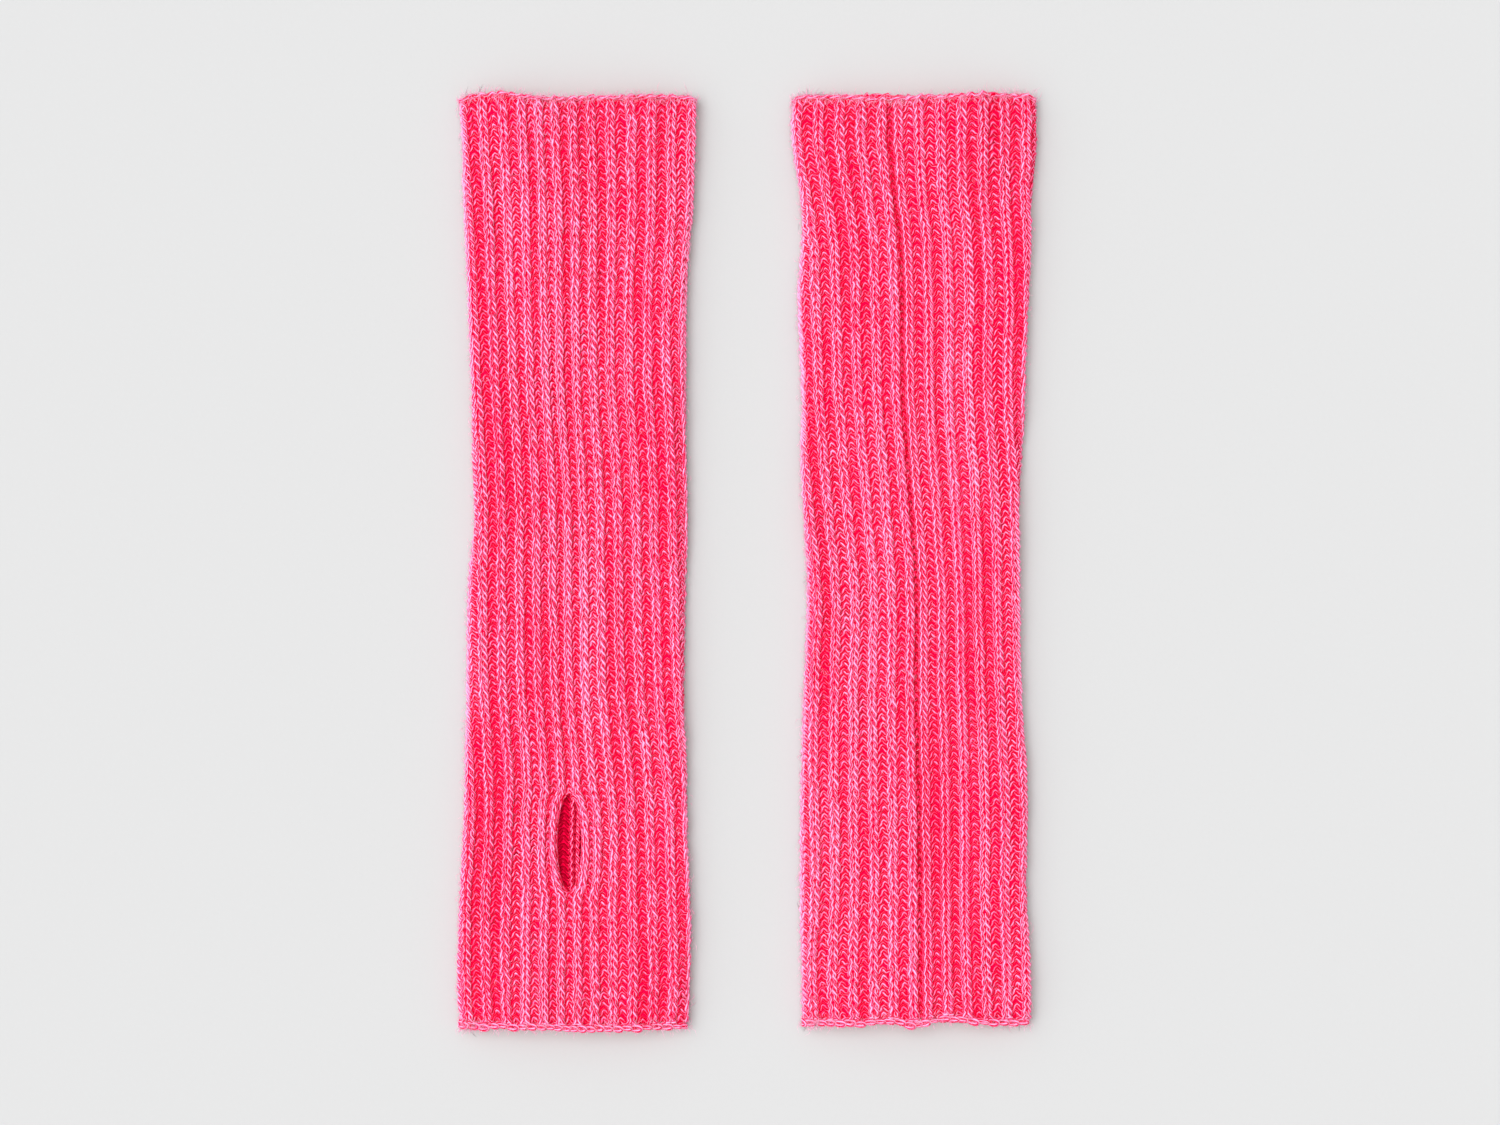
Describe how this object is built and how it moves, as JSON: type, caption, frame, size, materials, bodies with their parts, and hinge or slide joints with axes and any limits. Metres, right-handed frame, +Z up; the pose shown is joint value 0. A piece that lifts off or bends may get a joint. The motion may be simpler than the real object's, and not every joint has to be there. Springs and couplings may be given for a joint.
{
  "type": "pair of knitted arm warmers",
  "caption": "Rib-knit arm warmers laid flat side by side: open tubes with a thumb slit and a lengthwise seam, which cover the forearms and leave the fingers free.",
  "frame": {"origin": "on the surface that the pair rests on, below the middle of the pair's box", "axes": "+X from the left warmer to the right one, +Y along both towards the arm end, +Z up from the surface"},
  "size_m": [0.2636, 0.4227, 0.0121],
  "materials": {
    "rib_knit": "soft brushed wool yarn in a one-by-one rib, matt, dyed bright pink"
  },
  "bodies": {
    "root": {"left_slit_side": "rib_knit", "left_seam_side_a": "rib_knit", "left_seam_side_b": "rib_knit", "right_slit_side": "rib_knit", "right_seam_side_a": "rib_knit", "right_seam_side_b": "rib_knit"}
  },
  "joints": []
}
